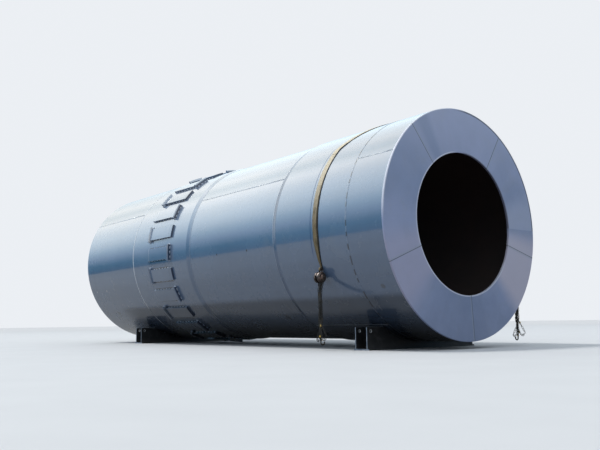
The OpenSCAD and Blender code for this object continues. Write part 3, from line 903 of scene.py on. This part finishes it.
def add_dab(bm, matrix, size):
    """A short weld: a low lump of (length, width, height), longest along X."""
    length, width, height = size
    scale = Matrix.Diagonal((length / 2, width / 2, height, 1))
    bmesh.ops.create_uvsphere(bm, u_segments=8, v_segments=6, radius=1.0, matrix=matrix @ scale)


def closed_run(bm, points):
    """Vertices at the points and the edges that join them in a closed run."""
    verts = [bm.verts.new(point) for point in points]
    return verts + [bm.edges.new(pair) for pair in zip(verts, verts[1:] + verts[:1])]


def spin_round(bm, geom, centre, axis, steps):
    """Spins vertices and edges all the way round and closes the surface."""
    bmesh.ops.spin(
        bm, geom=geom, cent=centre, axis=axis, dvec=(0, 0, 0), angle=2 * pi, steps=steps,
        use_merge=True, use_duplicate=False,
    )


def link_edges_of(verts):
    return list({edge for vert in verts for edge in vert.link_edges})


def round_edges(bm, verts, offset):
    bmesh.ops.bevel(
        bm, geom=link_edges_of(verts), offset=offset, segments=2, profile=0.5, affect="EDGES",
        material=-1,
    )


def add_cylinder(bm, matrix, radius, height, segments):
    """A closed cylinder along Z of the matrix."""
    return bmesh.ops.create_cone(
        bm, cap_ends=True, segments=segments, radius1=radius, radius2=radius, depth=height,
        matrix=matrix,
    )["verts"]


def girth_beads():
    """Round beads in place of the flat caps of the girth seams."""
    bm = bmesh.new()
    for seam in (X_TYRE, X_MIDDLE, X_FRONT, X_RING_COURSE):
        profile = []
        for i in range(BEAD_POINTS):
            across = -1 + 2 * i / (BEAD_POINTS - 1)
            x = seam + across * CAP_W / 2
            profile.append((x, surface_r(x) + CAP_H * sqrt(max(0.0, 1 - across * across))))
        for x in (seam + CAP_W / 4, seam - CAP_W / 4):
            profile.append((x, surface_r(seam) - BEAD_ROOT))
        run = closed_run(bm, [(x, 0.0, AXIS_Z + radius) for x, radius in profile])
        spin_round(bm, run, (0, 0, AXIS_Z), (1, 0, 0), BEAD_STEPS)
    piece = finish_piece(bm, "girth_weld_beads", "seam_bead")
    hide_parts("girth_weld_caps")


def lengthways_beads():
    """Round beads in place of the flat caps of the lengthways seams."""
    bm = bmesh.new()
    runs = (
        (X_REAR + REAR_BEVEL, X_TYRE, HEAVY_R, SEAM_ANGLE),
        (X_MIDDLE, X_FRONT, LIGHT_R, SEAM_ANGLE),
        (X_FRONT + TAPER, X_RING_COURSE, HEAVY_R, SEAM_ANGLE + 90),
        (X_RING_COURSE, X_RING, HEAVY_R, SEAM_ANGLE),
    )
    for x0, x1, radius, turn in runs:
        for half in (0, 180):
            length = x1 - x0 - CAP_W
            matrix = shell_matrix((x0 + x1) / 2, turn + half, radius - BEAD_SINK)
            at_end = Matrix.Translation((-length / 2, 0, 0)) @ Matrix.Rotation(pi / 2, 4, "Y")
            disc = bmesh.ops.create_circle(
                bm, cap_ends=True, radius=1.0, segments=16, matrix=matrix @ at_end
            )["verts"]
            squash = matrix @ Matrix.Diagonal((1, CAP_W / 2, CAP_H, 1)) @ matrix.inverted()
            bmesh.ops.transform(bm, verts=disc, matrix=squash)
            pushed = bmesh.ops.extrude_face_region(bm, geom=[disc[0].link_faces[0]])["geom"]
            verts = [item for item in pushed if isinstance(item, bmesh.types.BMVert)]
            bmesh.ops.translate(bm, verts=verts, vec=(length, 0, 0))
    piece = finish_piece(bm, "lengthways_weld_beads", "bead")
    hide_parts("lengthways_weld_caps")


def pad_stitches():
    """Short welds along the pads, at the ends of the stops and on their outer faces."""
    bm = bmesh.new()
    for i in range(PAD_COUNT):
        turn = PAD_ANGLE + i * 360 / PAD_COUNT
        side = 1 if i % 2 == 0 else -1
        start = SEAT_X - side * (SEAT_W / 2 + PAD_OVERHANG - STITCH_INSET)
        stop_x = SEAT_X + side * (SEAT_W / 2 + STOP_T / 2)
        outer_x = SEAT_X + side * (SEAT_W / 2 + STOP_T + STOP_WELD_OFF)
        for edge in (-1, 1):
            lean = Matrix.Rotation(-edge * pi / 4, 4, "X")
            pad_side = turn + edge * (PAD_HALF_TURN + STITCH_CLEAR_TURN)
            stop_side = turn + edge * (STOP_HALF_TURN + STITCH_CLEAR_TURN)
            for k in range(STITCH_COUNT):
                place = shell_matrix(start + side * k * STITCH_PITCH, pad_side, HEAVY_R)
                add_dab(bm, place @ lean, PAD_STITCH)
            place = shell_matrix(stop_x, stop_side, HEAVY_R + STOP_WELD_LIFT)
            add_dab(bm, place @ lean, STOP_END_WELD)
        lie = Matrix.Rotation(pi / 2, 4, "Z") @ Matrix.Rotation(side * pi / 4, 4, "X")
        for share in STOP_FACE_SHARES:
            place = shell_matrix(outer_x, turn + share * STOP_HALF_TURN, HEAVY_R)
            add_dab(bm, place @ lie, STOP_FACE_WELD)
    finish_piece(bm, "tyre_seat_stitch_welds", "stitch")


def web_band(bm, from_turn, to_turn, rows, lift, width_share, thickness):
    """A stretch of webbing on the strap's route, with soft folds where it is gathered."""
    made = bmesh.ops.create_grid(bm, x_segments=rows, y_segments=10, size=0.5)
    for vert in made["verts"]:
        turn = from_turn + (to_turn - from_turn) * (vert.co.x + 0.5)
        across = 2 * vert.co.y
        gather = 1 - (strap_width(turn) - STRAP_END_W) / (STRAP_W - STRAP_END_W)
        fold = FOLD_H * gather * (0.5 + 0.5 * cos(across * 3 * pi))
        slack = SLACK_H * (1 + sin(turn * 0.9) * sin(turn * 0.37 + across))
        radius = HEAVY_R + strap_lift(turn) + lift + thickness + fold + slack
        x = strap_x(turn) + across * strap_width(turn) / 2 * width_share
        vert.co = drum_point(x, turn, radius)
    faces = list({face for vert in made["verts"] for face in vert.link_faces})
    bmesh.ops.recalc_face_normals(bm, faces=faces)
    if faces[0].normal.dot(faces[0].calc_center_median() - Vector((0, 0, AXIS_Z))) > 0:
        bmesh.ops.reverse_faces(bm, faces=faces)
    bmesh.ops.solidify(bm, geom=faces, thickness=-thickness)


def web_eyes(bm):
    """The rolled eyes at the strap's ends, round the upper pins of the hoists."""
    half = STRAP_END_W / 2
    bore_r = PIN_R + PIN_GAP
    section = ((-half, bore_r), (-half, EYE_R), (half, EYE_R), (half, bore_r))
    for end, _ in ENDS:
        matrix = shell_matrix(strap_x(end), end, HEAVY_R)
        run = closed_run(bm, [matrix @ Vector((x, 0, EYE_LIFT + r)) for x, r in section])
        spin_round(bm, run, matrix @ Vector((0, 0, EYE_LIFT)), (1, 0, 0), 36)


def map_webbing(bm):
    """UV map in metres of cloth: along the strap, and across it before it is gathered."""
    layer = bm.loops.layers.uv.new("webbing")
    for face in bm.faces:
        for loop in face.loops:
            place = loop.vert.co
            turn = strap_turn(place)
            clear = (place - Vector((place.x, 0, AXIS_Z))).length - HEAVY_R
            share = (place.x - strap_x(turn)) / strap_width(turn)
            loop[layer].uv = (radians(turn) * HEAVY_R + clear, share * STRAP_W)


def strap_piece():
    """The woven strap with its splice and eyes, in place of the plain ribbon."""
    bm = bmesh.new()
    web_band(bm, ENDS[0][0], ENDS[1][0], 260, 0.0, 1.0, WEB_T)
    web_band(bm, *SPLICE_TURNS, 14, WEB_T + SPLICE_GAP, SPLICE_SHARE, SPLICE_T)
    web_eyes(bm)
    map_webbing(bm)
    piece = finish_piece(bm, "strap_webbing", "webbing")
    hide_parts("lashing_strap")


def hand_link_mesh():
    """One link of a hand chain in the XZ plane: a ring drawn out along Z."""
    bm = bmesh.new()
    wire = bmesh.ops.create_circle(
        bm, radius=LINK_WIRE_R, segments=6, matrix=Matrix.Translation((LINK_BEND_R, 0, 0))
    )["verts"]
    spin_round(bm, wire + link_edges_of(wire), (0, 0, 0), (0, 1, 0), 12)
    for vert in bm.verts:
        if abs(vert.co.z) > 1e-6:
            vert.co.z += LINK_STRAIGHT / 2 if vert.co.z > 0 else -LINK_STRAIGHT / 2
    mesh = bpy.data.meshes.new("link")
    bm.to_mesh(mesh)
    bm.free()
    return mesh


def add_copy(bm, mesh, place, turned):
    """Adds a copy of a mesh to a bmesh, turned about Z and moved to a place."""
    first = len(bm.verts)
    bm.from_mesh(mesh)
    bm.verts.ensure_lookup_table()
    matrix = Matrix.Translation(place) @ Matrix.Rotation(turned, 4, "Z")
    bmesh.ops.transform(bm, verts=bm.verts[first:], matrix=matrix)


def strand_bottom(k):
    return STRAND_LOW + STRAND_LOW_STEP * (k % 3)


def strand_place(k, share, top, centre):
    """Point on strand k of a hand chain, at a share of its way down."""
    gathered = min(1.0, share / STRAND_GATHERED)
    spread = max(0.0, share - STRAND_OPENS) / (1 - STRAND_OPENS)
    a = 2 * pi * k / len(STRAND_SPREAD)
    x = top.x + (centre.x + STRAND_CIRCLE[0] * cos(a) - top.x) * gathered
    x += STRAND_SPREAD[k] * spread + 0.006 * sin(11 * share + 2 * k)
    y = centre.y + STRAND_CIRCLE[1] * sin(a) * (0.5 + 0.5 * gathered)
    y += 0.005 * sin(9 * share + k)
    return Vector((x, y, top.z + (strand_bottom(k) - top.z) * share))


def hand_chains():
    """The endless pulling chain of each hoist, gathered in strands that end in hanging loops."""
    mesh = hand_link_mesh()
    bm = bmesh.new()
    for end, side in ENDS:
        centre = hoist_matrix(end, side).translation
        top = centre + Vector((WHEEL_X, 0, 0))
        for k in range(len(STRAND_SPREAD)):
            count = int((top.z - strand_bottom(k)) / LINK_PITCH)
            for i in range(count):
                place = strand_place(k, i / (count - 1), top, centre)
                add_copy(bm, mesh, place, pi / 2 * (i % 2) + 0.5 * sin(i * 1.7 + k))
        for k in range(0, len(STRAND_SPREAD), 2):
            first, last = (strand_place(n, 1.0, top, centre) for n in (k, k + 1))
            for i in range(1, LOOP_LINKS):
                sag = Vector((0, 0, LOOP_SAG * sin(pi * i / LOOP_LINKS)))
                add_copy(bm, mesh, first.lerp(last, i / LOOP_LINKS) - sag, pi / 2 * (i % 2))
    finish_piece(bm, "hand_chains", "steel")
    bpy.data.meshes.remove(mesh)


def chain_couplings():
    """Brass-coloured couplings on the gathered chains."""
    bm = bmesh.new()
    for end, side in ENDS:
        centre = hoist_matrix(end, side).translation
        for z, x in COUPLINGS:
            place = Matrix.Translation((centre.x + x, centre.y + side * COUPLING_OUT, z))
            round_edges(bm, add_cylinder(bm, place, COUPLING_R, COUPLING_H, 20), EDGE_ROUND)
    finish_piece(bm, "chain_couplings", "brass")


def hoist_details():
    """Cover bolts and the hand wheel of each hoist."""
    bm = bmesh.new()
    lying = Matrix.Rotation(pi / 2, 4, "Y")
    for end, side_of_drum in ENDS:
        body = hoist_matrix(end, side_of_drum)
        for side in (-1, 1):
            for k in range(BOLT_COUNT):
                a = 2 * pi * k / BOLT_COUNT
                place = Matrix.Translation((
                    side * (HOIST_HALF_W + 0.0015), BOLT_CIRCLE_R * cos(a), BOLT_CIRCLE_R * sin(a)
                ))
                add_cylinder(bm, body @ place @ lying, BOLT_R, BOLT_H, 6)
        hub = body @ Matrix.Translation((WHEEL_X, 0, 0)) @ lying
        round_edges(bm, add_cylinder(bm, hub, WHEEL_R, WHEEL_W, 40), EDGE_ROUND)
    finish_piece(bm, "hoist_bolts_and_wheels", "hoist", smooth=False)


def hook_latches():
    """Brass-coloured safety latches across the mouths of the hooks."""
    bm = bmesh.new()
    low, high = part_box("chain_hooks")
    for end, side in ENDS:
        place = Matrix.Translation((strap_x(end), side * (high.y - LATCH_IN), low.z + LATCH_UP))
        scale = Matrix.Diagonal((*LATCH_SIZE, 1))
        latch = bmesh.ops.create_cube(bm, size=1.0, matrix=place @ scale)["verts"]
        round_edges(bm, latch, LATCH_ROUND)
    finish_piece(bm, "hook_latches", "brass")


def seen_rays(g):
    """Light Path's outputs, and a mask of the rays that show the background."""
    path = g.add("ShaderNodeLightPath").outputs
    kinds = ("Is Camera Ray", "Is Glossy Ray", "Is Transmission Ray")
    return path, g.joined([path[kind] for kind in kinds])


def make_floor():
    """Pale to the camera, darker as a source of light so that it doesn't wash the drum out."""
    bm = bmesh.new()
    drop = Matrix.Translation((0, 0, -FLOOR_DROP))
    bmesh.ops.create_grid(bm, x_segments=1, y_segments=1, size=FLOOR_HALF, matrix=drop)
    material, g, shader = new_material("floor_pale", Roughness=0.9, Specular_IOR_Level=0.2)
    path, seen = seen_rays(g)
    grain = g.mix(g.noise(g.object_place(), 1.3, 5.0), *FLOOR_SEEN)
    lit = g.mix(seen, FLOOR_LIT, FLOOR_IN_GLOSS)
    g.put(shader["Base Color"], g.mix(path["Is Camera Ray"], lit, grain))
    floor = new_object(bm, "floor", material)


def make_sky_card():
    """A round soft light over the whole set, seen only in gloss."""
    bm = bmesh.new()
    bmesh.ops.create_uvsphere(bm, u_segments=64, v_segments=32, radius=SKY_R)
    geom = bm.verts[:] + bm.edges[:] + bm.faces[:]
    bmesh.ops.bisect_plane(
        bm, geom=geom, plane_co=(0, 0, 0), plane_no=(0, 0, -1), clear_outer=True
    )
    material = bpy.data.materials.new("sky_card")
    material.use_nodes = True
    material.node_tree.nodes.clear()
    g = Graph(material.node_tree)
    x, y, z = g.split(g.object_place())
    height = g.math("DIVIDE", g.math("ARCTAN2", z, g.math("ABSOLUTE", y)), pi / 2)
    ramp = g.add("ShaderNodeValToRGB")
    g.put(ramp.inputs[0], height)
    ramp.color_ramp.interpolation = "LINEAR"
    for i, (place, colour) in enumerate(SKY_STOPS):
        stop = ramp.color_ramp.elements[i] if i < 2 else ramp.color_ramp.elements.new(place)
        stop.position = place
        stop.color = (*colour, 1.0)
    dimmed = SKY_BEHIND_SHARE * SKY_STRENGTH
    behind = g.smooth(y, -0.20 * SKY_R, 0.25 * SKY_R, SKY_STRENGTH, dimmed)
    far = g.smooth(x, -0.94 * SKY_R, -0.74 * SKY_R, SKY_FAR_SHARE, 1.0)
    glow = g.add("ShaderNodeEmission")
    g.put(glow.inputs["Color"], ramp.outputs[0])
    g.put(glow.inputs["Strength"], g.times(behind, far))
    g.put(g.add("ShaderNodeOutputMaterial").inputs[0], glow.outputs[0])
    card = new_object(bm, "sky_card", material)
    card.visible_camera = False
    card.visible_diffuse = False
    card.visible_shadow = False


def make_world():
    """Soft fill light, with a pale background for the camera and in gloss."""
    world = bpy.data.worlds.new("studio")
    bpy.context.scene.world = world
    world.use_nodes = True
    world.node_tree.nodes.clear()
    g = Graph(world.node_tree)
    mixed = g.add("ShaderNodeMixShader")
    g.put(mixed.inputs[0], seen_rays(g)[1])
    sides = ((FILL_COLOUR, FILL_STRENGTH), (BACK_COLOUR, BACK_STRENGTH))
    for socket, (colour, strength) in zip(mixed.inputs[1:], sides):
        side = g.add("ShaderNodeBackground")
        g.put(side.inputs["Color"], colour)
        g.put(side.inputs["Strength"], strength)
        g.put(socket, side.outputs[0])
    g.put(g.add("ShaderNodeOutputWorld").inputs[0], mixed.outputs[0])


def make_lamp():
    """Soft key light, high on the left of the drum."""
    data = bpy.data.lights.new("key", "SUN")
    data.energy = KEY_STRENGTH
    data.angle = KEY_SPREAD
    data.color = KEY_COLOUR
    lamp = bpy.data.objects.new("key", data)
    bpy.context.scene.collection.objects.link(lamp)
    lamp.rotation_mode = "QUATERNION"
    lamp.rotation_quaternion = KEY_AIM.to_track_quat("-Z", "Y")


def make_camera():
    """The photograph's camera."""
    data = bpy.data.cameras.new("camera")
    data.sensor_width = SENSOR_W
    data.lens = CAMERA_FOCAL / IMAGE_W * SENSOR_W
    data.clip_end = 500.0
    camera = bpy.data.objects.new("camera", data)
    bpy.context.scene.collection.objects.link(camera)
    level = cos(CAMERA_PITCH)
    forward = Vector((level * cos(CAMERA_YAW), level * sin(CAMERA_YAW), sin(CAMERA_PITCH)))
    right = forward.cross(Vector((0, 0, 1))).normalized()
    up = right.cross(forward)
    tipped = right * cos(CAMERA_ROLL) + up * sin(CAMERA_ROLL)
    raised = up * cos(CAMERA_ROLL) - right * sin(CAMERA_ROLL)
    turned = Matrix((tipped, raised, -forward)).transposed()
    camera.matrix_world = Matrix.Translation(CAMERA_PLACE) @ turned.to_4x4()
    bpy.context.scene.camera = camera


make_camera()
make_world()
make_lamp()
make_floor()
make_sky_card()
dress_nodes()
girth_beads()
lengthways_beads()
pad_stitches()
strap_piece()
hand_chains()
hoist_details()
hook_latches()
chain_couplings()
bpy.context.scene.view_settings.view_transform = "Standard"
